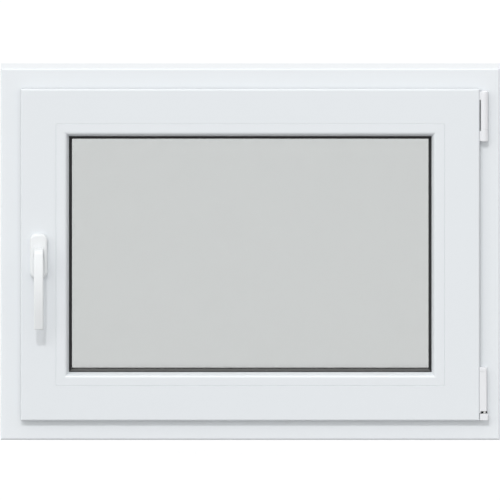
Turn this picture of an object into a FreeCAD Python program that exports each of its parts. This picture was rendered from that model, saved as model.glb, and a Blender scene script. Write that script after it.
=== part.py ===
import FreeCAD, Part
import math
import os
import re
import Sketcher

# Tilt and turn window of white hollow plastic profiles, closed, seen from the room.
# X runs to the right as seen from the room, Z up, and Y out of the building.
# The origin is at the middle of the frame's bottom face.
#
# Every bar is drawn as a section: the first number is its place through the wall (Y),
# the second its distance inwards from the frame's outer edge.

SIZES = [
    ("frame_width", 800, "outer width of the fixed frame"),
    ("frame_height", 600, "outer height of the fixed frame"),
    ("frame_depth", 70, "depth of the frame profile, room face to outer face"),
    ("frame_face", 40.5, "height of the frame profile at its room face"),
    ("frame_leg", 20, "how far the outer leg stands above the frame's rebate"),
    ("leg_thickness", 9, "thickness of the outer leg"),
    ("leg_slope", 2.5, "fall of the legs' upper edges to the outside, for the rain"),
    ("edge_round", 3.5, "rounding of the frame's outer edges"),
    ("wall", 2.8, "outer walls of the hollow profiles"),
    ("web", 1.6, "webs between their chambers"),
    ("room_chamber", 12, "depth of the frame's chamber behind the room face"),
    ("steel_chamber", 30, "depth of the frame's chamber for the reinforcement"),
    ("fixing_radius", 3.75, "holes for the frame screws"),
    ("fixing_inset", 150, "frame screws from the window's corners"),
    ("drain_inset", 130, "drain slots from the window's corners"),
    ("drain_length", 28, "length of a drain slot"),
    ("drain_height", 5, "height of a drain slot"),
    ("drain_level", 14, "drain slots above the bottom face"),
    ("drain_cap_margin", 7, "how far a drain cap reaches past its slot"),
    ("drain_cap_depth", 6, "how far a drain cap stands out"),
    ("sash_projection", 12, "how far the sash stands out from the frame into the room"),
    ("sash_overlap", 8, "how far the sash lip covers the frame"),
    ("sash_face", 56.5, "room face of the sash, lip edge to glazing bead"),
    ("sash_round", 2.5, "rounding of the sash lip"),
    ("rebate_gap", 12, "space for the locking gear between frame and sash"),
    ("seal_gap", 3, "space for the seals between frame and sash"),
    ("groove_inset", 5, "gear groove from the lip's inner face"),
    ("groove_width", 16, "width of the gear groove"),
    ("groove_depth", 8, "depth of the gear groove"),
    ("sash_steel_chamber", 36, "depth of the sash's chamber for the reinforcement"),
    ("sash_leg", 14, "thickness of the sash's outer glazing leg"),
    ("bead_width", 20.5, "glazing bead, sash face to its edge at the glass"),
    ("bead_depth", 14, "depth of the bead, room face to its back"),
    ("bead_flat", 13.5, "flat part of the bead before it slopes to the glass"),
    ("bead_round", 7, "rounding between the bead's flat part and its slope"),
    ("bead_lip", 3, "thickness of the bead's edge at the glass"),
    ("bead_foot", 5, "how far the bead's foot reaches into the sash"),
    ("bead_foot_width", 4, "thickness of the bead's foot"),
    ("bead_foot_inset", 4.5, "bead's foot from the room face"),
    ("foot_clearance", 0.2, "bead's foot in its groove"),
    ("joint_chamfer", 0.7, "small bevels that draw the line between sash and bead"),
    ("glass_seal", 3, "glazing seals between glass and profile"),
    ("seal_showing", 5, "width of the room-side glazing seal that shows"),
    ("seal_cover", 6, "width of the glazing seals behind the bead and leg"),
    ("pane", 4, "thickness of a glass pane"),
    ("glass_clearance", 4, "edge of the glass from the sash rebate"),
    ("spacer_bar", 7, "height of the bars that hold the panes apart"),
    ("spacer_inset", 4, "spacer bars from the edge of the glass"),
    ("lip_seal_width", 4, "seals between sash and frame"),
    ("lip_seal_inset", 2.5, "room-side seal from the lip's edge"),
    ("handle_drop", 1, "spindle below the middle of the window"),
    ("handle_inset", 28.5, "spindle from the sash lip's edge"),
    ("rose_width", 28, "width of the handle's cover plate"),
    ("rose_height", 72, "height of the handle's cover plate"),
    ("rose_thickness", 11, "thickness of the handle's cover plate"),
    ("rose_corner", 10.5, "corner rounding of the cover plate"),
    ("rose_edge", 4, "rounding of its front edge"),
    ("journal_radius", 8, "round end of the lever in the cover plate"),
    ("journal_clearance", 0.05, "running fit of the lever in the cover plate"),
    ("journal_length", 7, "how far the lever's round end reaches into the plate"),
    ("spindle_width", 7, "square spindle"),
    ("spindle_reach", 24, "how far the spindle reaches behind the sash's room face"),
    ("spindle_hole", 6, "radius of the spindle's hole in the sash"),
    ("lever_gap", 0.5, "lever in front of the cover plate"),
    ("lever_reach", 50, "where the two slopes of the grip meet, from the sash's room face"),
    ("lever_length", 116, "tip of the grip below the spindle"),
    ("lever_width", 15.2, "width of the lever"),
    ("lever_head", 14, "top of the lever above the spindle"),
    ("elbow_set", 15, "how far the elbow lies behind the meeting of the slopes"),
    ("tip_set", 16.5, "how far the tip lies behind it"),
    ("bow_level", 48, "meeting of the slopes below the spindle"),
    ("bow_radius", 180, "bow of the grip's front"),
    ("bow_room", 0.9, "share of the grip's lower slope that this bow may take"),
    ("hollow_radius", 90, "bow of its back, where the fingers go"),
    ("neck_half", 11, "underside of the neck below the spindle"),
    ("grip_thickness", 12, "grip at the neck"),
    ("tip_thickness", 9, "grip at its tip"),
    ("head_round", 10, "rounding of the lever's elbow"),
    ("crook_round", 9, "rounding inside the elbow"),
    ("lever_round", 2.2, "rounding of the lever's long edges and its tip"),
    ("hinge_inset", 24.9, "hinge axis from the frame's outer edge"),
    ("hinge_standoff", 7.6, "hinge axis in front of the frame's room face"),
    ("barrel_radius", 6.1, "radius of the stay hinge's covers"),
    ("corner_front", 4.2, "front of the corner hinge's covers, from the hinge axis"),
    ("corner_side", 4, "right side of its sleeve and cap, from the hinge axis"),
    ("rest_side", 6.4, "right side of its rest, from the hinge axis"),
    ("rest_clearance", 0.5, "rest from the side of the sash"),
    ("corner_round", 2.2, "rounding of the corner hinge's front edge"),
    ("barrel_gap", 0.4, "sash side of the hinges in front of the frame"),
    ("pin_radius", 2.2, "hinge pins"),
    ("cover_bevel", 2, "bevels at the ends of the stay hinge"),
    ("cap_bevel", 1, "bevel round the top of the corner hinge's cap"),
    ("stay_drop", 3, "top of the stay hinge below the sash's top edge"),
    ("stay_sleeve", 62, "height of the stay hinge's sleeve"),
    ("stay_cap", 20.5, "height of its lower cap"),
    ("stay_slot_drop", 14.5, "top of the open slot beside the stay hinge"),
    ("stay_slot_step", 3.4, "how far the slot runs down beside the cap"),
    ("corner_lift", 0.5, "foot of the corner hinge above the sash's bottom edge"),
    ("corner_rest", 10.5, "height of the corner hinge's rest on the frame"),
    ("corner_gap", 4.2, "open gap above the rest, where the pin shows"),
    ("corner_sleeve", 64, "height of the corner hinge's sleeve"),
    ("corner_cap", 6.5, "height of the cap on the sleeve"),
    ("corner_skirt", 1.6, "width of the sleeve's edge that runs down beside the gap"),
    ("leaf_thickness", 2.5, "steel leaves of the hinges"),
    ("leaf_margin", 0.6, "clear space at the sides of the leaves"),
]

doc = FreeCAD.newDocument("tilt_turn_window")
sheet = doc.addObject("Spreadsheet::Sheet", "sizes")
for row, (alias, value, meaning) in enumerate(SIZES, start=1):
    sheet.set(f"A{row}", meaning)
    sheet.set(f"B{row}", str(value))
    sheet.setAlias(f"B{row}", alias)
doc.recompute()

# Planes through the wall, from the room outwards.
ROOM_FACE = "(-frame_depth / 2)"
OUTER_FACE = "(frame_depth / 2)"
LEG_BACK = "(frame_depth / 2 - leg_thickness)"
SASH_FRONT = "(-frame_depth / 2 - sash_projection)"
LIP_BACK = "(-frame_depth / 2 - seal_gap)"
SASH_BACK = "(frame_depth / 2 - leg_thickness - seal_gap)"
BEAD_BACK = f"({SASH_FRONT} + bead_depth)"
GLASS_FRONT = f"({BEAD_BACK} + glass_seal)"
GLASS_LEG = f"({SASH_BACK} - sash_leg)"
GLASS_BACK = f"({GLASS_LEG} - glass_seal)"
CAVITY = f"(({GLASS_BACK} - {GLASS_FRONT} - 3 * pane) / 2)"

# Distances inwards from the frame's outer edge.
LIP_EDGE = "(frame_face - sash_overlap)"
SASH_EDGE = "(frame_face + rebate_gap)"
BEAD_EDGE = "(frame_face - sash_overlap + sash_face)"
SIGHT_LINE = f"({BEAD_EDGE} + bead_width)"
GLASS_EDGE = f"({BEAD_EDGE} + glass_clearance)"

# Middle of the handle and of the hinges.
HANDLE_X = f"(-frame_width / 2 + {LIP_EDGE} + handle_inset)"
HANDLE_Z = "(frame_height / 2 - handle_drop)"
HINGE_X = "(frame_width / 2 - hinge_inset)"
HINGE_Y = "(-frame_depth / 2 - hinge_standoff)"

nodes = []


def bound(text):
    """The text of a formula with every size in it read from the sheet, and its functions kept."""
    return re.sub(r"\b[a-z]\w*\b(?!\()", r"sizes.\g<0>", text)


def bind(thing, **formulas):
    for name, text in formulas.items():
        thing.setExpression(name, bound(text))


def place(thing, x="0", y="0", z="0", turn=0):
    """Puts a piece at formulas x, y, z, turned about Y by a number of degrees."""
    thing.Placement = FreeCAD.Placement(FreeCAD.Vector(), FreeCAD.Rotation(FreeCAD.Vector(0, 1, 0), turn))
    for axis, text in (("x", x), ("y", y), ("z", z)):
        thing.setExpression(f"Placement.Base.{axis}", bound(text))


def new_body(name):
    body = doc.addObject("PartDesign::Body", name)
    body.Label = name
    nodes.append(body)
    return body


def sketch_on(body, plane, name):
    sketch = body.newObject("Sketcher::SketchObject", f"{body.Name}_{name}")
    origin_plane = next(item for item in body.Origin.OriginFeatures if item.Role == plane)
    sketch.AttachmentSupport = (origin_plane, [""])
    sketch.MapMode = "FlatFace"
    return sketch


def outline(sketch, corners):
    """Draws a closed outline whose corners are pairs of formulas."""
    first = sketch.GeometryCount
    count = len(corners)
    start = [FreeCAD.Vector(math.cos(2 * math.pi * i / count), math.sin(2 * math.pi * i / count), 0)
             for i in range(count)]
    for i in range(count):
        sketch.addGeometry(Part.LineSegment(start[i], start[(i + 1) % count]))
    for i in range(count):
        sketch.addConstraint(Sketcher.Constraint("Coincident", first + i, 2, first + (i + 1) % count, 1))
    for i, (across, up) in enumerate(corners):
        for kind, value, text in (("DistanceX", start[i].x, across), ("DistanceY", start[i].y, up)):
            rule = sketch.addConstraint(Sketcher.Constraint(kind, -1, 1, first + i, 1, value))
            sketch.setExpression(f"Constraints[{rule}]", bound(text))


def rectangle(sketch, left, bottom, right, top):
    outline(sketch, [(left, bottom), (right, bottom), (right, top), (left, top)])


def circle(sketch, across, up, radius):
    """Draws a circle whose middle and radius are formulas."""
    index = sketch.addGeometry(Part.Circle(FreeCAD.Vector(0, 0, 0), FreeCAD.Vector(0, 0, 1), 1))
    for kind, text in (("DistanceX", across), ("DistanceY", up)):
        rule = sketch.addConstraint(Sketcher.Constraint(kind, -1, 1, index, 3, 0.5))
        sketch.setExpression(f"Constraints[{rule}]", bound(text))
    rule = sketch.addConstraint(Sketcher.Constraint("Radius", index, 1))
    sketch.setExpression(f"Constraints[{rule}]", bound(radius))


def pad(body, sketch, length, both_ways=False, reverse=False):
    feature = body.newObject("PartDesign::Pad", f"{sketch.Name}_pad")
    feature.Profile = sketch
    feature.SideType = "Symmetric" if both_ways else "One side"
    feature.Reversed = reverse
    bind(feature, Length=length)
    return feature


def pocket(body, sketch, length=None, reverse=False):
    """Cuts through everything both ways, or one way to a depth."""
    feature = body.newObject("PartDesign::Pocket", f"{sketch.Name}_cut")
    feature.Profile = sketch
    if length is None:
        feature.Type = "ThroughAll"
        feature.SideType = "Symmetric"
    else:
        feature.Reversed = reverse
        bind(feature, Length=length)
    return feature


def chosen_edges(base, chosen):
    """The edges of the body so far that the test picks out."""
    doc.recompute()
    return base, [f"Edge{i}" for i, edge in enumerate(base.Shape.Edges, start=1) if chosen(edge)]


def fillet(body, base, radius, chosen):
    feature = body.newObject("PartDesign::Fillet", f"{base.Name}_round")
    feature.Base = chosen_edges(base, chosen)
    bind(feature, Radius=radius)
    return feature


def chamfer(body, base, size, chosen):
    feature = body.newObject("PartDesign::Chamfer", f"{base.Name}_bevel")
    feature.Base = chosen_edges(base, chosen)
    bind(feature, Size=size)
    return feature


def along(edge, x=0, y=0, z=0):
    """Whether an edge is straight and runs along the given direction."""
    if edge.Curve.TypeId != "Part::GeomLine":
        return False
    return edge.tangentAt(edge.FirstParameter).cross(FreeCAD.Vector(x, y, z)).Length < 1e-6


def corner_points(sketch, indices):
    doc.recompute()
    return [sketch.Geometry[i].StartPoint for i in indices]


def bar_body(name, side, section, hollows, rounded=(), radius=None):
    """One mitred length of profile along a side of the window."""
    body = new_body(name)
    length = "frame_width" if side in ("bottom", "top") else "frame_height"
    profile = sketch_on(body, "YZ_Plane", "section")
    outline(profile, section)
    for hollow in hollows:
        rectangle(profile, *hollow)
    solid = pad(body, profile, length, both_ways=True)
    if rounded:
        spots = corner_points(profile, rounded)
        fillet(body, solid, radius, lambda edge: along(edge, x=1) and any(
            abs(edge.Vertexes[0].Y - spot.x) < 1e-4 and abs(edge.Vertexes[0].Z - spot.y) < 1e-4
            for spot in spots))
    mitres = sketch_on(body, "XZ_Plane", "mitres")
    reach = f"({SIGHT_LINE} + seal_showing)"
    for sign in ("", "-"):
        outline(mitres, [(f"{sign}({length} / 2 + 1)", "-1"),
                         (f"{sign}({length} / 2 + 1)", reach),
                         (f"{sign}({length} / 2 - {reach})", reach)])
    pocket(body, mitres)
    if side == "bottom":
        place(body)
    elif side == "top":
        place(body, z="frame_height", turn=180)
    elif side == "left":
        place(body, x="-frame_width / 2", z="frame_height / 2", turn=90)
    else:
        place(body, x="frame_width / 2", z="frame_height / 2", turn=-90)
    return body


def fixed_frame():
    section = [(ROOM_FACE, "0"),
               (OUTER_FACE, "0"),
               (OUTER_FACE, "frame_face + frame_leg - leg_slope"),
               (LEG_BACK, "frame_face + frame_leg"),
               (LEG_BACK, "frame_face"),
               (ROOM_FACE, "frame_face")]
    room_end = f"({ROOM_FACE} + wall + room_chamber)"
    steel_end = f"({room_end} + web + steel_chamber)"
    top = "frame_face - wall"
    leg_top = "frame_face + frame_leg - leg_slope - wall"
    hollows = [(f"{ROOM_FACE} + wall", "wall", room_end, top),
               (f"{room_end} + web", "wall", steel_end, top),
               (f"{steel_end} + web", "wall", f"{LEG_BACK} + wall - web", top),
               (f"{LEG_BACK} + wall", "wall", f"{OUTER_FACE} - wall", leg_top)]
    for name, side in (("frame_sill", "bottom"), ("frame_head", "top"),
                       ("frame_left_jamb", "left"), ("frame_right_jamb", "right")):
        body = bar_body(name, side, section, hollows, rounded=(0, 1), radius="edge_round")
        if side in ("left", "right"):
            holes = sketch_on(body, "XY_Plane", "fixings")
            for sign in ("", "-"):
                circle(holes, f"{sign}(frame_height / 2 - fixing_inset)", "0", "fixing_radius")
            pocket(body, holes)
        if side == "bottom":
            slots = sketch_on(body, "XZ_Plane", "drains")
            for sign in ("", "-"):
                middle = f"{sign}(frame_width / 2 - drain_inset)"
                rectangle(slots, f"{middle} - drain_length / 2", "drain_level",
                          f"{middle} + drain_length / 2", "drain_level + drain_height")
            slots.AttachmentOffset = FreeCAD.Placement()
            slots.setExpression("AttachmentOffset.Base.z", bound(f"-{OUTER_FACE}"))
            pocket(body, slots, "wall", reverse=True)


def drain_caps():
    for name, sign in (("drain_cap_left", "-"), ("drain_cap_right", "")):
        body = new_body(name)
        front = sketch_on(body, "XZ_Plane", "front")
        half = "(drain_length / 2 + drain_cap_margin)"
        rectangle(front, f"-{half}", "-drain_cap_margin", half, "drain_height + drain_cap_margin")
        hood = pad(body, front, "drain_cap_depth", reverse=True)
        fillet(body, hood, "drain_cap_depth / 3", lambda edge: edge.Vertexes[0].Y > 1 and along(edge, x=1))
        mouth = sketch_on(body, "XZ_Plane", "mouth")
        rectangle(mouth, f"-{half} + wall", "-drain_cap_margin - 1", f"{half} - wall", "drain_height")
        pocket(body, mouth, "drain_cap_depth - wall", reverse=True)
        place(body, x=f"{sign}(frame_width / 2 - drain_inset)", y=OUTER_FACE, z="drain_level")


def sash():
    groove_front = f"({LIP_BACK} + groove_inset)"
    groove_back = f"({LIP_BACK} + groove_inset + groove_width)"
    foot_front = f"({SASH_FRONT} + bead_foot_inset)"
    foot_back = f"({SASH_FRONT} + bead_foot_inset + bead_foot_width)"
    section = [(SASH_FRONT, LIP_EDGE),
               (LIP_BACK, LIP_EDGE),
               (LIP_BACK, SASH_EDGE),
               (groove_front, SASH_EDGE),
               (groove_front, f"{SASH_EDGE} + groove_depth"),
               (groove_back, f"{SASH_EDGE} + groove_depth"),
               (groove_back, SASH_EDGE),
               (SASH_BACK, SASH_EDGE),
               (SASH_BACK, f"{SIGHT_LINE} - leg_slope"),
               (GLASS_LEG, SIGHT_LINE),
               (GLASS_LEG, BEAD_EDGE),
               (f"{foot_back} + foot_clearance", BEAD_EDGE),
               (f"{foot_back} + foot_clearance", f"{BEAD_EDGE} - bead_foot - foot_clearance"),
               (f"{foot_front} - foot_clearance", f"{BEAD_EDGE} - bead_foot - foot_clearance"),
               (f"{foot_front} - foot_clearance", BEAD_EDGE),
               (f"{SASH_FRONT} + joint_chamfer", BEAD_EDGE),
               (SASH_FRONT, f"{BEAD_EDGE} - joint_chamfer")]
    lip_end = f"({LIP_BACK} - wall)"
    steel_end = f"({lip_end} + web + sash_steel_chamber)"
    under_foot = f"({BEAD_EDGE} - bead_foot - wall)"
    over_groove = f"({SASH_EDGE} + groove_depth + wall)"
    hollows = [(f"{SASH_FRONT} + wall", f"{LIP_EDGE} + wall", lip_end, under_foot),
               (f"{lip_end} + web", over_groove, steel_end, under_foot),
               (f"{groove_back} + wall", f"{SASH_EDGE} + wall", steel_end, f"{over_groove} - web"),
               (f"{steel_end} + web", f"{SASH_EDGE} + wall", f"{SASH_BACK} - wall", f"{BEAD_EDGE} - wall"),
               (f"{GLASS_LEG} + wall", f"{BEAD_EDGE} - wall + web",
                f"{SASH_BACK} - wall", f"{SIGHT_LINE} - leg_slope - wall")]
    for name, side in (("sash_bottom_rail", "bottom"), ("sash_top_rail", "top"),
                       ("sash_handle_stile", "left"), ("sash_hinge_stile", "right")):
        body = bar_body(name, side, section, hollows, rounded=(0,), radius="sash_round")
        if side == "left":
            hole = sketch_on(body, "XZ_Plane", "spindle_hole")
            circle(hole, "handle_drop", f"{LIP_EDGE} + handle_inset", "spindle_hole")
            hole.AttachmentOffset = FreeCAD.Placement()
            hole.setExpression("AttachmentOffset.Base.z", bound(f"-{SASH_FRONT}"))
            pocket(body, hole, "spindle_reach + spindle_width")


def beads():
    foot_front = f"({SASH_FRONT} + bead_foot_inset)"
    foot_back = f"({SASH_FRONT} + bead_foot_inset + bead_foot_width)"
    section = [(f"{SASH_FRONT} + joint_chamfer", BEAD_EDGE),
               (foot_front, BEAD_EDGE),
               (foot_front, f"{BEAD_EDGE} - bead_foot"),
               (foot_back, f"{BEAD_EDGE} - bead_foot"),
               (foot_back, BEAD_EDGE),
               (BEAD_BACK, BEAD_EDGE),
               (BEAD_BACK, SIGHT_LINE),
               (f"{BEAD_BACK} - bead_lip", SIGHT_LINE),
               (SASH_FRONT, f"{BEAD_EDGE} + bead_flat"),
               (SASH_FRONT, f"{BEAD_EDGE} + joint_chamfer")]
    hollows = [(f"{SASH_FRONT} + wall", f"{BEAD_EDGE} + web",
                f"{BEAD_BACK} - web", f"{BEAD_EDGE} + bead_flat - web")]
    for name, side in (("bead_bottom", "bottom"), ("bead_top", "top"),
                       ("bead_left", "left"), ("bead_right", "right")):
        bar_body(name, side, section, hollows, rounded=(8,), radius="bead_round")


def seal_ring(name, level, section):
    """A seal all round the window, its spine at a distance inwards from the frame's edge."""
    body = new_body(name)
    spine = sketch_on(body, "XZ_Plane", "spine")
    rectangle(spine, f"-frame_width / 2 + {level}", level,
              f"frame_width / 2 - {level}", f"frame_height - {level}")
    profile = sketch_on(body, "YZ_Plane", "section")
    outline(profile, section)
    ring = body.newObject("PartDesign::AdditivePipe", f"{name}_sweep")
    ring.Profile = profile
    ring.Spine = spine
    ring.Transition = "Right corner"


def seals():
    lip = f"({LIP_EDGE} + lip_seal_inset)"
    seal_ring("sash_seal", lip, [(LIP_BACK, lip),
                                 (ROOM_FACE, lip),
                                 (ROOM_FACE, f"{lip} + lip_seal_width"),
                                 (LIP_BACK, f"{lip} + lip_seal_width")])
    leg = "(frame_face + frame_leg)"
    seal_ring("frame_seal", f"({leg} - lip_seal_width)", [(SASH_BACK, f"{leg} - lip_seal_width"),
                                                         (LEG_BACK, f"{leg} - lip_seal_width"),
                                                         (LEG_BACK, leg),
                                                         (SASH_BACK, f"{leg} - lip_seal_width / 2")])
    under = f"({SIGHT_LINE} - seal_cover)"
    lip_front = f"{BEAD_BACK} - bead_lip / 3"
    seal_ring("glass_seal_room", under, [(BEAD_BACK, under),
                                         (GLASS_FRONT, under),
                                         (GLASS_FRONT, f"{SIGHT_LINE} + seal_showing"),
                                         (f"{BEAD_BACK} + glass_seal / 3",
                                          f"{SIGHT_LINE} + seal_showing / 2"),
                                         (lip_front, f"{SIGHT_LINE} + seal_showing / 4"),
                                         (lip_front, SIGHT_LINE),
                                         (BEAD_BACK, SIGHT_LINE)])
    seal_ring("glass_seal_outer", under, [(GLASS_BACK, under),
                                          (GLASS_LEG, under),
                                          (GLASS_LEG, SIGHT_LINE),
                                          (GLASS_BACK, f"{SIGHT_LINE} + glass_seal / 2")])


def glass():
    pane_step = f"(pane + {CAVITY})"
    for index, name in enumerate(("pane_room", "pane_middle", "pane_outer")):
        box = doc.addObject("Part::Box", name)
        box.Label = name
        bind(box, Length=f"frame_width - 2 * {GLASS_EDGE}", Width="pane",
             Height=f"frame_height - 2 * {GLASS_EDGE}")
        place(box, x=f"-frame_width / 2 + {GLASS_EDGE}",
              y=f"{GLASS_FRONT} + {index} * {pane_step}", z=GLASS_EDGE)
        nodes.append(box)
    outer = f"({GLASS_EDGE} + spacer_inset)"
    inner = f"({outer} + spacer_bar)"
    for index, name in enumerate(("spacer_room", "spacer_outer")):
        body = new_body(name)
        ring = sketch_on(body, "XZ_Plane", "ring")
        for edge in (outer, inner):
            rectangle(ring, f"-frame_width / 2 + {edge}", edge,
                      f"frame_width / 2 - {edge}", f"frame_height - {edge}")
        pad(body, ring, CAVITY, reverse=True)
        place(body, y=f"{GLASS_FRONT} + pane + {index} * {pane_step}")


def handle_rose():
    body = new_body("handle_rose")
    plate = sketch_on(body, "XZ_Plane", "plate")
    rectangle(plate, "-rose_width / 2", "-rose_height / 2", "rose_width / 2", "rose_height / 2")
    solid = pad(body, plate, "rose_thickness")
    corners = fillet(body, solid, "rose_corner", lambda edge: along(edge, y=1))
    doc.recompute()
    front = corners.Shape.BoundBox.YMin
    fillet(body, corners, "rose_edge",
           lambda edge: all(abs(vertex.Y - front) < 1e-4 for vertex in edge.Vertexes))
    bore = sketch_on(body, "XZ_Plane", "bore")
    circle(bore, "0", "0", "journal_radius + journal_clearance")
    pocket(body, bore)
    place(body, x=HANDLE_X, y=SASH_FRONT, z=HANDLE_Z)


def handle_lever():
    body = new_body("handle_lever")
    side = sketch_on(body, "YZ_Plane", "side")
    root = "-(rose_thickness + lever_gap)"
    outline(side, [(root, "lever_head"),
                   ("-lever_reach + elbow_set", "lever_head"),
                   ("-lever_reach", "-bow_level"),
                   ("-lever_reach + tip_set", "-lever_length"),
                   ("-lever_reach + tip_set + tip_thickness", "-lever_length"),
                   ("-lever_reach + grip_thickness", "-bow_level"),
                   ("-lever_reach + elbow_set + grip_thickness", "-neck_half"),
                   (root, "-neck_half")])
    solid = pad(body, side, "lever_width", both_ways=True)
    top, bow, foot, heel, hollow, crook = corner_points(side, (1, 2, 3, 4, 5, 6))

    def at(spots):
        return lambda edge: along(edge, x=1) and any(
            abs(edge.Vertexes[0].Y - spot.x) < 1e-4 and abs(edge.Vertexes[0].Z - spot.y) < 1e-4
            for spot in spots)
    front = fillet(body, solid, grip_bow(), at([bow]))
    back = fillet(body, front, "hollow_radius", at([hollow]))
    elbow = fillet(body, back, "head_round", at([top]))
    inside = fillet(body, elbow, "crook_round", at([crook]))
    tip = fillet(body, inside, "lever_round", at([foot, heel]))
    fillet(body, tip, "lever_round",
           lambda edge: not along(edge, x=1) and min(v.Y for v in edge.Vertexes) < root_limit(side))
    journal = sketch_on(body, "XZ_Plane", "journal")
    circle(journal, "0", "0", "journal_radius")
    journal.AttachmentOffset = FreeCAD.Placement()
    journal.setExpression("AttachmentOffset.Base.z", bound("rose_thickness - journal_length"))
    pad(body, journal, "journal_length + lever_gap + neck_half")
    place(body, x=HANDLE_X, y=SASH_FRONT, z=HANDLE_Z)


def grip_bow():
    """The bow of the grip's front, no larger than the slope below it has room for."""
    turn = "(atan(elbow_set / (lever_head + bow_level)) + atan(tip_set / (lever_length - bow_level)))"
    return f"min(bow_radius; bow_room * (lever_length - bow_level) / tan({turn} / 2))"


def root_limit(side):
    """Just in front of the lever's root, so that its seat on the plate stays sharp."""
    return side.Geometry[0].StartPoint.x - 1e-3


def handle_spindle():
    box = doc.addObject("Part::Box", "handle_spindle")
    box.Label = "handle_spindle"
    bind(box, Length="spindle_width", Height="spindle_width",
         Width="spindle_reach + rose_thickness - journal_length")
    place(box, x=f"{HANDLE_X} - spindle_width / 2",
          y=f"{SASH_FRONT} - rose_thickness + journal_length",
          z=f"{HANDLE_Z} - spindle_width / 2")
    nodes.append(box)


def barrel_cover(name, level, height, seat, end, flank):
    """A cover of the stay hinge: a barrel with a bevelled end and a flank at the sash.

    The end is "top" or "foot", and the flank is a pair of formulas: how high it starts
    and how high it is.
    """
    body = new_body(name)
    barrel = sketch_on(body, "XY_Plane", "barrel")
    circle(barrel, "0", "0", "barrel_radius")
    pad(body, barrel, height)
    back = sketch_on(body, "XY_Plane", "back")
    rectangle(back, "-barrel_radius", "0", "barrel_radius", seat)
    solid = pad(body, back, height)
    doc.recompute()
    rim = solid.Shape.BoundBox
    rim_level = rim.ZMax if end == "top" else rim.ZMin
    chamfer(body, solid, "cover_bevel", lambda edge: edge.BoundBox.YMin < rim.YMax - 1e-3 and all(
        abs(vertex.Z - rim_level) < 1e-4 for vertex in edge.Vertexes))
    side = sketch_on(body, "XY_Plane", "flank")
    rectangle(side, f"-({LIP_EDGE} - hinge_inset)", "-barrel_radius / 2", "0", seat)
    side.AttachmentOffset = FreeCAD.Placement()
    side.setExpression("AttachmentOffset.Base.z", bound(flank[0]))
    pad(body, side, flank[1])
    bore = sketch_on(body, "XY_Plane", "bore")
    circle(bore, "0", "0", "pin_radius")
    pocket(body, bore)
    place(body, x=HINGE_X, y=HINGE_Y, z=level)


def flat_cover(name, level, height, seat, left, right, bevelled=False, skirt=None):
    """A cover of the corner hinge: flat in front, with a round edge away from the sash.

    The skirt is how far the edge beside the sash runs down past its foot.
    """
    body = new_body(name)
    section = sketch_on(body, "XY_Plane", "section")
    rectangle(section, left, "-corner_front", right, seat)
    solid = pad(body, section, height)
    doc.recompute()
    side = solid.Shape.BoundBox
    rounded = fillet(body, solid, "corner_round", lambda edge: along(edge, z=1)
                     and edge.Vertexes[0].X > side.XMax - 1e-4 and edge.Vertexes[0].Y < side.YMin + 1e-4)
    if bevelled:
        chamfer(body, rounded, "cap_bevel", lambda edge: edge.BoundBox.YMin < side.YMax - 1e-3
                and edge.BoundBox.XMax > side.XMin + 1e-3 and all(
                    abs(vertex.Z - side.ZMax) < 1e-4 for vertex in edge.Vertexes))
    if skirt is not None:
        edge_strip = sketch_on(body, "XY_Plane", "skirt")
        rectangle(edge_strip, left, "-corner_front", f"{left} + corner_skirt", seat)
        pad(body, edge_strip, skirt, reverse=True)
    bore = sketch_on(body, "XY_Plane", "bore")
    circle(bore, "0", "0", "pin_radius")
    pocket(body, bore)
    place(body, x=HINGE_X, y=HINGE_Y, z=level)


def hinge_pin(name, level, height):
    cylinder = doc.addObject("Part::Cylinder", name)
    cylinder.Label = name
    bind(cylinder, Radius="pin_radius", Height=height)
    place(cylinder, x=HINGE_X, y=HINGE_Y, z=level)
    nodes.append(cylinder)


def steel_leaf(name, left, front, level, width, height):
    box = doc.addObject("Part::Box", name)
    box.Label = name
    bind(box, Length=width, Width="leaf_thickness", Height=height)
    place(box, x=left, y=front, z=level)
    nodes.append(box)


def stay_hinge():
    """The upper hinge: a sleeve on the sash's stay arm above a cap on the frame's bearing."""
    seam = f"(frame_height - {LIP_EDGE} - stay_drop - stay_sleeve)"
    foot = f"({seam} - stay_cap)"
    barrel_cover("stay_hinge_sleeve", seam, "stay_sleeve", "(hinge_standoff - barrel_gap)", end="top",
                 flank=("stay_sleeve - stay_slot_drop", "stay_slot_drop - cover_bevel"))
    barrel_cover("stay_hinge_cap", foot, "stay_cap", "hinge_standoff", end="foot",
                 flank=("cover_bevel", "stay_cap - cover_bevel - stay_slot_step"))
    hinge_pin("stay_hinge_pin", f"{foot} + stay_cap / 2", "stay_cap / 2 + stay_sleeve / 2")
    under_lip = "(lip_seal_inset - leaf_margin)"
    steel_leaf("stay_hinge_leaf",
               left=f"frame_width / 2 - {LIP_EDGE} - {under_lip}",
               front=LIP_BACK,
               level=f"{seam} - stay_slot_step + leaf_margin",
               width=f"{LIP_EDGE} + {under_lip} - hinge_inset - barrel_radius",
               height="stay_slot_step + stay_sleeve - stay_slot_drop - 2 * leaf_margin")


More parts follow.
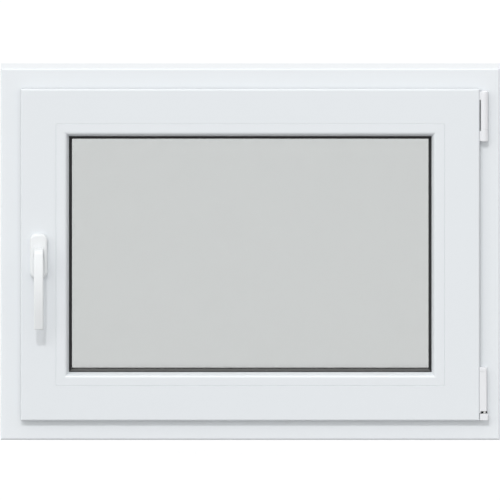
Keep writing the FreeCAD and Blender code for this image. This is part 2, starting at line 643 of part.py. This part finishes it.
def corner_hinge():
    """The lower hinge: the sash's sleeve on a pin that stands in the frame's rest."""
    foot = f"({LIP_EDGE} + corner_lift)"
    gap = f"({foot} + corner_rest)"
    seat = f"({gap} + corner_gap)"
    sash_side = f"-({LIP_EDGE} - hinge_inset)"
    flat_cover("corner_hinge_rest", foot, "corner_rest", "hinge_standoff",
               left=f"{sash_side} + rest_clearance", right="rest_side")
    flat_cover("corner_hinge_sleeve", seat, "corner_sleeve", "(hinge_standoff - barrel_gap)",
               left=sash_side, right="corner_side", skirt="corner_gap - barrel_gap")
    flat_cover("corner_hinge_cap", f"({seat} + corner_sleeve)", "corner_cap",
               "(hinge_standoff - barrel_gap)", left=sash_side, right="corner_side", bevelled=True)
    hinge_pin("corner_hinge_pin", f"{foot} + corner_rest / 2",
              "corner_rest / 2 + corner_gap + corner_sleeve / 2")
    steel_leaf("corner_hinge_plate",
               left=f"{HINGE_X} - corner_side",
               front=f"{ROOM_FACE} - leaf_thickness",
               level=gap,
               width="2 * corner_side",
               height="corner_gap")


fixed_frame()
drain_caps()
sash()
beads()
seals()
glass()
handle_rose()
handle_lever()
handle_spindle()
stay_hinge()
corner_hinge()
doc.recompute()

for thing in doc.Objects:
    if "Invalid" in thing.State or "Error" in thing.State:
        raise RuntimeError(f"{thing.Name} failed: {thing.State}")
for node in nodes:
    if node.Shape.isNull() or not node.Shape.isValid():
        raise RuntimeError(f"{node.Label} has no valid shape")

os.makedirs("parts", exist_ok=True)
for node in nodes:
    node.Shape.exportStep(f"parts/{node.Label}.step")
    box = node.Shape.BoundBox
    print(f"{node.Label:22} {node.Shape.Volume / 1000:9.2f} cm3  "
          f"x {box.XMin:.1f}..{box.XMax:.1f}  y {box.YMin:.1f}..{box.YMax:.1f}  "
          f"z {box.ZMin:.1f}..{box.ZMax:.1f}")
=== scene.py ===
import bpy
import math
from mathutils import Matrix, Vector


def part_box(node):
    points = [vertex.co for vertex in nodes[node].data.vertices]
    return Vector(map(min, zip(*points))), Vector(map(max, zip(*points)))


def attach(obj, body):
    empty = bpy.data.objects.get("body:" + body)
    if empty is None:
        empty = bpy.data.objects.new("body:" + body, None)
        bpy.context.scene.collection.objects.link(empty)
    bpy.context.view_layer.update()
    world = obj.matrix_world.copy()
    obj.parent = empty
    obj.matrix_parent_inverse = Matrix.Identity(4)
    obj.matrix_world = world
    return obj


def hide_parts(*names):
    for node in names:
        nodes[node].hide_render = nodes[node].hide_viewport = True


# A white tilt and turn window, closed, as seen from the room.
# Metres, X to the right, Y out of the building, Z up, standing on the floor at Z = 0.

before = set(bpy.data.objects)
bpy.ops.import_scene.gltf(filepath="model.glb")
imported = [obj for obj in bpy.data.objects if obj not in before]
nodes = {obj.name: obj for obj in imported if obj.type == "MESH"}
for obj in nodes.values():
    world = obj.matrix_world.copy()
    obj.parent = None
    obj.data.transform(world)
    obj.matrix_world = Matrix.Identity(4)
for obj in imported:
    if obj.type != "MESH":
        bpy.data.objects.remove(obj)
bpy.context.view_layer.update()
print("frame loaded:", len(nodes), "pieces")

sameSpot = 0.00001                # points closer than this are one
smoothBelow = math.radians(30)    # edges with a smaller angle than this are shaded smooth


def pick(*objects):   # only these are selected, the last one is active
    bpy.ops.object.select_all(action="DESELECT")
    for thing in objects:
        thing.select_set(True)
        bpy.context.view_layer.objects.active = thing


pick()


# Material helpers

def newMaterial(name):
    material = bpy.data.materials.new(name)
    material.use_nodes = True
    tree = material.node_tree
    return material, tree, tree.nodes["Principled BSDF"]


def addNode(tree, kind, **values):   # values are its settings, or defaults of its inputs
    made = tree.nodes.new(kind)
    for key, value in values.items():
        if hasattr(made, key):
            setattr(made, key, value)
        else:
            made.inputs[key].default_value = value
    return made


def objectCoords(tree, scale):
    coords = tree.nodes.new("ShaderNodeTexCoord")
    mapping = addNode(tree, "ShaderNodeMapping", Scale=scale)
    tree.links.new(coords.outputs["Object"], mapping.inputs["Vector"])
    return mapping.outputs["Vector"]


def noise(tree, scale, stretch=(1, 1, 1), detail=3.0):
    made = addNode(tree, "ShaderNodeTexNoise", Scale=scale, Detail=detail)
    tree.links.new(objectCoords(tree, stretch), made.inputs["Vector"])
    return made.outputs["Fac"]


def varied(tree, socket, source, low, high):   # the socket runs from low to high with a pattern
    spread = addNode(tree, "ShaderNodeMapRange")
    spread.inputs["To Min"].default_value = low
    spread.inputs["To Max"].default_value = high
    tree.links.new(source, spread.inputs["Value"])
    tree.links.new(spread.outputs["Result"], socket)


def mixed(tree, source, first, second):   # a colour that runs from the first to the second
    mix = addNode(tree, "ShaderNodeMix", data_type="RGBA")
    mix.inputs["A"].default_value = (*first, 1)
    mix.inputs["B"].default_value = (*second, 1)
    tree.links.new(source, mix.inputs["Factor"])
    return mix.outputs["Result"]


def tinted(tree, shader, source, colour, spread):   # base colour, a little darker and lighter
    darker = [part * (1 - spread) for part in colour]
    lighter = [min(1, part * (1 + spread)) for part in colour]
    tree.links.new(mixed(tree, source, darker, lighter), shader.inputs["Base Color"])


def bumps(tree, shader, layers):   # layers are pairs of a pattern and its height in metres
    below = None
    for source, height in layers:
        bump = addNode(tree, "ShaderNodeBump", Distance=height, Strength=1.0)
        tree.links.new(source, bump.inputs["Height"])
        if below is not None:
            tree.links.new(below, bump.inputs["Normal"])
        below = bump.outputs["Normal"]
    tree.links.new(below, shader.inputs["Normal"])


def tintAndGloss(tree, shader, values):   # both vary a little over the surface
    tinted(tree, shader, noise(tree, values["tintScale"]), values["colour"], values["tint"])
    smoothest = values["roughness"] - values["smoother"]
    roughest = values["roughness"] + values["rougher"]
    varied(tree, shader.inputs["Roughness"], noise(tree, values["glossScale"]), smoothest, roughest)


# Plastic bars, with fine lines from the die along each bar

plastic = {
    "shared": {
        "tintScale": 4.0,
        "tint": 0.006,            # share by which the colour comes and goes
        "glossScale": 14.0,
        "smoother": 0.03,         # how far the roughness comes and goes
        "rougher": 0.05,
        "grainAcross": 700.0,     # lines per metre across the bar
        "grainAlong": 9.0,
        "grainHeight": 0.00001,
        "peelScale": 420.0,       # a faint unevenness, as orange peel
        "peelHeight": 0.000012,
        "ior": 1.53,
    },
    "frame": {"colour": (0.788, 0.818, 0.842), "roughness": 0.34},
    "sash": {"colour": (0.760, 0.790, 0.815), "roughness": 0.34},
    "bead": {"colour": (0.764, 0.794, 0.819), "roughness": 0.32},
}


def extrudedPlastic(name, kind, alongZ):
    values = {**plastic["shared"], **plastic[kind]}
    material, tree, shader = newMaterial(name)
    across, lengthwise = values["grainAcross"], values["grainAlong"]
    stretch = (across, across, lengthwise) if alongZ else (lengthwise, across, across)
    grain = noise(tree, scale=1.0, stretch=stretch, detail=2)
    peel = noise(tree, values["peelScale"], detail=2)
    tintAndGloss(tree, shader, values)
    bumps(tree, shader, [(peel, values["peelHeight"]), (grain, values["grainHeight"])])
    shader.inputs["IOR"].default_value = values["ior"]
    return material


# Moulded, coated and metal pieces

cast = {
    "shared": {
        "tintScale": 25.0,
        "tint": 0.01,
        "glossScale": 60.0,
        "smoother": 0.03,
        "rougher": 0.04,
        "peelScale": 500.0,
        "peelHeight": 0.00001,
        "metallic": 0.0,
    },
    "trim_plastic": {"colour": (0.79, 0.81, 0.82), "roughness": 0.45, "peelHeight": 0.00002},
    "cover_plastic": {"colour": (0.79, 0.80, 0.82), "roughness": 0.30},
    "handle_coat": {
        "colour": (0.81, 0.83, 0.84), "roughness": 0.30, "peelHeight": 0.000015, "peelScale": 900.0,
    },
    "zinc_steel": {"colour": (0.56, 0.56, 0.55), "roughness": 0.38, "metallic": 1.0},
    # Partly painted shade: the stay hinge's leaf in its slot and the plate behind the lower hinge's pin
    # are real steel parts, coloured near black so that these gaps read as dark as their shade
    "dark_steel": {"colour": (0.05, 0.05, 0.045), "roughness": 0.50, "metallic": 1.0},
    "black_steel": {"colour": (0.012, 0.012, 0.011), "roughness": 0.50, "metallic": 1.0},
    "spacer_metal": {"colour": (0.62, 0.63, 0.64), "roughness": 0.35, "metallic": 1.0},
}


def moulded(name):
    values = {**cast["shared"], **cast[name]}
    material, tree, shader = newMaterial(name)
    tintAndGloss(tree, shader, values)
    bumps(tree, shader, [(noise(tree, values["peelScale"], detail=2), values["peelHeight"])])
    shader.inputs["Metallic"].default_value = values["metallic"]
    return material


# Seals; the room seal has a painted sheen: its colour is lighter where it faces up, standing in for a
# highlight from the lamps above

seals = {
    "colour": (0.018, 0.018, 0.019),
    "tintScale": 180.0,
    "tint": 0.2,
    "glossScale": 240.0,
    "smoothest": 0.55,
    "roughest": 0.70,
    "poreScale": 1600.0,
    "poreHeight": 0.00002,
    "specular": 0.3,
    # colour of the painted sheen, a highlight painted on where the room seal faces up
    "paintedSheen": (0.092, 0.094, 0.091),
    "sheenFrom": 0.35,   # the upward part of a face's normal at which the painted sheen begins
    "sheenFull": 0.60,
}


# Painted highlight: the seal's colour runs lighter as its face turns up, in place of the light it catches
# from above
def paintedSheenUpward(tree, shader):
    coords = tree.nodes.new("ShaderNodeTexCoord")
    parts = tree.nodes.new("ShaderNodeSeparateXYZ")
    tree.links.new(coords.outputs["Normal"], parts.inputs["Vector"])
    sheenShare = addNode(tree, "ShaderNodeMapRange")
    sheenShare.inputs["From Min"].default_value = seals["sheenFrom"]
    sheenShare.inputs["From Max"].default_value = seals["sheenFull"]
    tree.links.new(parts.outputs["Z"], sheenShare.inputs["Value"])
    sheenedColour = mixed(tree, sheenShare.outputs["Result"], seals["colour"], seals["paintedSheen"])
    tree.links.new(sheenedColour, shader.inputs["Base Color"])


def rubber(name, paintedSheen=False):
    material, tree, shader = newMaterial(name)
    # painted sheen: lighter colour where the face looks up
    if paintedSheen:
        paintedSheenUpward(tree, shader)
    else:
        tinted(tree, shader, noise(tree, seals["tintScale"]), seals["colour"], seals["tint"])
    gloss = noise(tree, seals["glossScale"])
    varied(tree, shader.inputs["Roughness"], gloss, seals["smoothest"], seals["roughest"])
    bumps(tree, shader, [(noise(tree, seals["poreScale"], detail=2), seals["poreHeight"])])
    shader.inputs["Specular IOR Level"].default_value = seals["specular"]
    return material


# Glass, very slightly wavy

glass = {
    "colour": (0.822, 0.830, 0.828),
    "roughness": 0.0,
    "ior": 1.5,
    "waveScale": 2.2,
    "waveHeight": 0.000004,
}


def glassMaterial(name):
    material, tree, shader = newMaterial(name)
    shader.inputs["Base Color"].default_value = (*glass["colour"], 1)
    shader.inputs["Roughness"].default_value = glass["roughness"]
    shader.inputs["IOR"].default_value = glass["ior"]
    shader.inputs["Transmission Weight"].default_value = 1.0
    bumps(tree, shader, [(noise(tree, glass["waveScale"], detail=1), glass["waveHeight"])])
    return material


frameAcross = extrudedPlastic("frame_plastic_across", "frame", alongZ=False)
frameUpright = extrudedPlastic("frame_plastic_upright", "frame", alongZ=True)
sashAcross = extrudedPlastic("sash_plastic_across", "sash", alongZ=False)
sashUpright = extrudedPlastic("sash_plastic_upright", "sash", alongZ=True)
beadAcross = extrudedPlastic("bead_plastic_across", "bead", alongZ=False)
beadUpright = extrudedPlastic("bead_plastic_upright", "bead", alongZ=True)
trimPlastic = moulded("trim_plastic")
coverPlastic = moulded("cover_plastic")
handleCoat = moulded("handle_coat")
zincSteel = moulded("zinc_steel")
darkSteel = moulded("dark_steel")
blackSteel = moulded("black_steel")
spacerMetal = moulded("spacer_metal")
sealRubber = rubber("seal_rubber")
# the room seal gets the painted sheen on its upward faces
lipRubber = rubber("lip_rubber", paintedSheen=True)
clearGlass = glassMaterial("clear_glass")

finishes = {
    "frame_sill": frameAcross, "frame_head": frameAcross,
    "frame_left_jamb": frameUpright, "frame_right_jamb": frameUpright,
    "drain_cap_left": trimPlastic, "drain_cap_right": trimPlastic,
    "sash_bottom_rail": sashAcross, "sash_top_rail": sashAcross,
    "sash_handle_stile": sashUpright, "sash_hinge_stile": sashUpright,
    "bead_bottom": beadAcross, "bead_top": beadAcross,
    "bead_left": beadUpright, "bead_right": beadUpright,
    "sash_seal": sealRubber, "frame_seal": sealRubber,
    "glass_seal_room": lipRubber, "glass_seal_outer": sealRubber,
    "pane_room": clearGlass, "pane_middle": clearGlass, "pane_outer": clearGlass,
    "spacer_room": spacerMetal, "spacer_outer": spacerMetal,
    "handle_rose": handleCoat, "handle_lever": handleCoat, "handle_spindle": zincSteel,
    "stay_hinge_sleeve": coverPlastic, "stay_hinge_cap": coverPlastic,
    # the leaf is coloured near black as painted shade in the slot beside the sleeve
    "stay_hinge_pin": zincSteel, "stay_hinge_leaf": darkSteel,
    "corner_hinge_rest": coverPlastic, "corner_hinge_sleeve": coverPlastic,
    "corner_hinge_cap": coverPlastic, "corner_hinge_pin": zincSteel,
    # the plate is coloured near black as painted shade in the gap around the lower hinge's pin
    "corner_hinge_plate": blackSteel,
}
for name, material in finishes.items():
    slots = nodes[name].data.materials
    slots.clear()
    slots.append(material)
print("finishes given:", len(finishes))


# Modelling helpers

def dressed(piece, name, body):   # the piece stands for a node, in the node's finish
    piece.name = name + "_dressed"
    piece.data.materials.clear()
    piece.data.materials.append(finishes[name])
    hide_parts(name)
    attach(piece, body)


def editAll(select="SELECT"):
    bpy.ops.object.mode_set(mode="EDIT")
    bpy.ops.mesh.select_mode(type="EDGE")
    bpy.ops.mesh.select_all(action=select)


def editEdges(mesh, wanted):   # only the edges whose two ends pass the test are selected
    editAll("DESELECT")
    bpy.ops.object.mode_set(mode="OBJECT")
    for edge in mesh.edges:
        edge.select = all(wanted(mesh.vertices[i].co) for i in edge.vertices)
    bpy.ops.object.mode_set(mode="EDIT")


def resizeWhere(piece, wanted, scale, centre):   # only the points that pass the test are moved
    pick(piece)
    editAll("DESELECT")
    bpy.ops.object.mode_set(mode="OBJECT")
    for vertex in piece.data.vertices:
        vertex.select = wanted(vertex.co)
    bpy.ops.object.mode_set(mode="EDIT")
    bpy.ops.mesh.select_mode(type="VERT")
    bpy.ops.transform.resize(value=scale, center_override=centre)
    bpy.ops.object.mode_set(mode="OBJECT")


def copyOf(name):   # a closed copy of a node's mesh, selected
    piece = bpy.data.objects.new(name, nodes[name].data.copy())
    bpy.context.collection.objects.link(piece)
    pick(piece)
    bpy.ops.mesh.customdata_custom_splitnormals_clear()
    editAll()
    bpy.ops.mesh.remove_doubles(threshold=sameSpot)
    bpy.ops.mesh.normals_make_consistent(inside=False)
    bpy.ops.object.mode_set(mode="OBJECT")
    return piece


# Glazing beads: a long flat, then a tight round down to the glass

beads = {
    "width": 0.0205,          # from the sash's flat to the sight line
    "flat": 0.0160,
    "slopeDepth": 0.011,
    "roundReach": 0.0035,     # how far the rounding reaches on either side of its edge
    "roundSteps": 8,
    "rim": 0.0005,            # small rounding beside the sash
    "rimSteps": 3,
    "mitreGap": 0.00004,
    "cutMargin": 0.000001,    # points this close to a cut count as on it
}

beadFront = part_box("bead_left")[0][1]
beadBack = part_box("bead_left")[1][1]
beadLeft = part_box("bead_left")[1][0] - beads["width"]
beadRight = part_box("bead_right")[0][0] + beads["width"]
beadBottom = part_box("bead_bottom")[1][2] - beads["width"]
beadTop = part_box("bead_top")[0][2] + beads["width"]


def cutAway(spot, outward):   # what lies outward of the plane goes, and the cut is closed
    margin = beads["cutMargin"]
    bpy.ops.mesh.bisect(plane_co=spot, plane_no=outward, use_fill=True, clear_outer=True, threshold=margin)


def bead(name, start, end, inward):
    inwards = Vector(inward)
    nearCorner = Vector((start[0], beadFront, start[1]))
    farCorner = Vector((end[0], beadFront, end[1]))
    along = (farCorner - nearCorner).normalized()

    opposite = Vector((end[0], beadBack, end[1])) + inwards * beads["width"]
    bpy.ops.object.select_all(action="DESELECT")
    bpy.ops.mesh.primitive_cube_add(size=1, location=(nearCorner + opposite) / 2)
    piece = bpy.context.object
    piece.scale = [abs(value) for value in opposite - nearCorner]
    bpy.ops.object.transform_apply(location=True, rotation=True, scale=True)

    edgeOfFlat = nearCorner + inwards * beads["flat"]
    slopeWidth = beads["width"] - beads["flat"]
    outOfSlope = (inwards * beads["slopeDepth"] - Vector((0, slopeWidth, 0))).normalized()
    editAll()
    cutAway(edgeOfFlat, outOfSlope)

    def onEdge(spot, reach):
        offset = (spot - nearCorner).dot(inwards)
        return abs(offset - reach) < sameSpot and abs(spot.y - beadFront) < sameSpot

    bpy.ops.object.mode_set(mode="OBJECT")
    editEdges(piece.data, lambda spot: onEdge(spot, beads["flat"]))
    bpy.ops.mesh.bevel(offset=beads["roundReach"], segments=beads["roundSteps"], affect="EDGES")
    bpy.ops.object.mode_set(mode="OBJECT")
    editEdges(piece.data, lambda spot: onEdge(spot, 0.0))
    bpy.ops.mesh.bevel(offset=beads["rim"], segments=beads["rimSteps"], affect="EDGES")

    gap = along * beads["mitreGap"]
    for corner, side in ((nearCorner + gap, -along), (farCorner - gap, along)):
        editAll()
        cutAway(corner, (inwards + side).normalized())
    bpy.ops.mesh.select_all(action="SELECT")
    bpy.ops.mesh.normals_make_consistent(inside=False)
    bpy.ops.object.mode_set(mode="OBJECT")
    bpy.ops.object.shade_smooth_by_angle(angle=smoothBelow)
    level = piece.modifiers.new("level", "WEIGHTED_NORMAL")   # keeps the long flats flat to the light
    level.keep_sharp = True
    bpy.ops.object.modifier_apply(modifier="level")
    dressed(piece, name, "window")


bead("bead_left", (beadLeft, beadBottom), (beadLeft, beadTop), (1, 0, 0))
bead("bead_right", (beadRight, beadBottom), (beadRight, beadTop), (-1, 0, 0))
bead("bead_bottom", (beadLeft, beadBottom), (beadRight, beadBottom), (0, 0, 1))
bead("bead_top", (beadLeft, beadTop), (beadRight, beadTop), (0, 0, -1))
print("glazing beads modelled")


# Outer glazing seal: it reaches further over the glass and shows above the room seal's lower lip

outerSeal = {
    "lip": 0.0075,        # from the ring's outer side to its lip
    "further": 0.0015,
    "near": 0.0001,       # points this close to the lip belong to it
}


def widenSeal(name):
    low, high = [Vector(corner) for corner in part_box(name)]
    centre = (low + high) / 2
    toLip = outerSeal["lip"] - outerSeal["near"]
    halfWidth = (high.x - low.x) / 2 - toLip
    halfHeight = (high.z - low.z) / 2 - toLip

    def onLip(spot):
        return abs(spot.x - centre.x) < halfWidth and abs(spot.z - centre.z) < halfHeight

    piece = copyOf(name)
    narrower = (1 - outerSeal["further"] / halfWidth, 1, 1 - outerSeal["further"] / halfHeight)
    resizeWhere(piece, onLip, narrower, centre)
    bpy.ops.object.shade_smooth_by_angle(angle=smoothBelow)
    dressed(piece, name, "window")


widenSeal("glass_seal_outer")
print("outer glazing seal widened")


# Cast and moulded pieces: the same forms with softer edges

soft = {       # body, slot, size of the mesh's cells, rounds of smoothing
    "handle_lever": ("handle", "handle_coating", 0.0006, 14),
    "handle_rose": ("window", "handle_coating", 0.0006, 8),
    "stay_hinge_sleeve": ("window", "hinge_covers", 0.0004, 5),
    "stay_hinge_cap": ("window", "hinge_covers", 0.0004, 5),
    "corner_hinge_sleeve": ("window", "hinge_covers", 0.0004, 4),
    "corner_hinge_cap": ("window", "hinge_covers", 0.0004, 4),
    "corner_hinge_rest": ("window", "hinge_covers", 0.0004, 4),
}


def softened(name, body, slot, cell, rounds):
    piece = copyOf(name)
    skin = piece.modifiers.new("skin", "REMESH")
    skin.mode = "VOXEL"
    skin.voxel_size = cell
    worn = piece.modifiers.new("worn", "SMOOTH")
    worn.iterations = rounds
    bpy.ops.object.modifier_apply(modifier="skin")
    bpy.ops.object.modifier_apply(modifier="worn")
    bpy.ops.object.shade_smooth()
    dressed(piece, name, body)
    return piece


# The lever's round end turns in the cover plate, so there it is a little slimmer than its bore

journal = {
    "slimmer": 0.96,
    "before": 0.0003,     # how far in front of the plate this begins
}


def slimJournal(lever):
    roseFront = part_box("handle_rose")[0][1]
    low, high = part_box("handle_spindle")
    axis = ((low[0] + high[0]) / 2, roseFront, (low[2] + high[2]) / 2)
    slimmer = (journal["slimmer"], 1, journal["slimmer"])
    resizeWhere(lever, lambda spot: spot.y > roseFront - journal["before"], slimmer, axis)


softPieces = {}
for name, values in soft.items():
    softPieces[name] = softened(name, *values)
slimJournal(softPieces["handle_lever"])
print("soft edges given to", len(soft), "pieces")


# Light, floor and camera

studio = {
    "sky": 0.70,
    "lamps": {       # the way the light travels, the width of its disc in degrees, strength
        "window": ((0.13, 1.0, -0.90), 3.0, 0.80),
        "key": ((0.5, 1.0, -0.89), 10.5, 0.35),
        "left": ((1.0, 0.55, -0.25), 50.0, 0.60),
        "right": ((-1.0, 0.6, -0.35), 50.0, 0.16),
        "front": ((0.0, 1.0, -0.25), 50.0, 0.08),
        "top": ((0.0, 0.55, -1.0), 40.0, 0.15),
        "rear": ((0.0, -1.0, -0.1), 30.0, 0.35),
    },
    "notMirrored": "rear",   # lights the outside and leaves no glare on the frame's top
    "lampDistance": 2.0,
    "floorSize": 24.0,
    "floorRoughness": 0.9,
    "floorBounce": 0.24,     # how much light it gives back
    "floorFill": 0.24,       # its own soft light, which reaches under the frame's edge too
    "floorSeen": 0.50,       # its colour to the eye, on top of a plain white glow
    "floorGlow": 0.52,
}
white = (1, 1, 1)


def grey(value):
    return (value, value, value)


def seenByEye(tree):   # 1 for rays that the eye follows: straight, mirrored or through glass
    path = tree.nodes.new("ShaderNodeLightPath")
    total = path.outputs["Is Camera Ray"]
    for other in ("Is Glossy Ray", "Is Transmission Ray"):
        greater = addNode(tree, "ShaderNodeMath", operation="MAXIMUM")
        tree.links.new(total, greater.inputs[0])
        tree.links.new(path.outputs[other], greater.inputs[1])
        total = greater.outputs[0]
    return total


def softSky():
    world = bpy.data.worlds.new("studio")
    world.use_nodes = True
    bpy.context.scene.world = world
    tree = world.node_tree
    colour = mixed(tree, seenByEye(tree), grey(studio["sky"]), white)
    tree.links.new(colour, tree.nodes["Background"].inputs["Color"])


def softLamps():
    for name, (direction, width, strength) in studio["lamps"].items():
        bpy.ops.object.light_add(type="SUN", location=-studio["lampDistance"] * Vector(direction))
        lamp = bpy.context.object
        lamp.name = name
        lamp.data.energy = strength
        lamp.data.angle = math.radians(width)
        lamp.visible_glossy = name != studio["notMirrored"]
        lamp.rotation_euler = Vector(direction).to_track_quat("-Z", "Y").to_euler()


def paleFloor():
    bpy.ops.mesh.primitive_plane_add(size=studio["floorSize"])
    floor = bpy.context.object
    floor.name = "floor"
    material, tree, shader = newMaterial("floor_paint")
    seen = seenByEye(tree)
    colour = mixed(tree, seen, grey(studio["floorBounce"]), grey(studio["floorSeen"]))
    tree.links.new(colour, shader.inputs["Base Color"])
    shader.inputs["Emission Color"].default_value = (*white, 1)
    varied(tree, shader.inputs["Emission Strength"], seen, studio["floorFill"], studio["floorGlow"])
    shader.inputs["Roughness"].default_value = studio["floorRoughness"]
    shader.inputs["Specular IOR Level"].default_value = 0.0
    floor.data.materials.append(material)


eye = {
    "elevation": 6.8,
    "distance": 4.0,
    "widthSeen": 0.8011,                 # metres across the picture
    "target": (-0.0004, -0.035, 0.3066),
}


def camera():
    bpy.ops.object.camera_add()
    made = bpy.context.object
    made.name = "eye"
    tilt = math.radians(eye["elevation"])
    back = Vector((0, -math.cos(tilt), math.sin(tilt)))
    made.location = Vector(eye["target"]) + back * eye["distance"]
    made.rotation_euler = (-back).to_track_quat("-Z", "Y").to_euler()
    made.data.type = "ORTHO"
    made.data.ortho_scale = eye["widthSeen"]
    bpy.context.scene.camera = made


softSky()
softLamps()
paleFloor()
camera()
bpy.context.scene.view_settings.view_transform = "Standard"
print("light, floor and camera set")
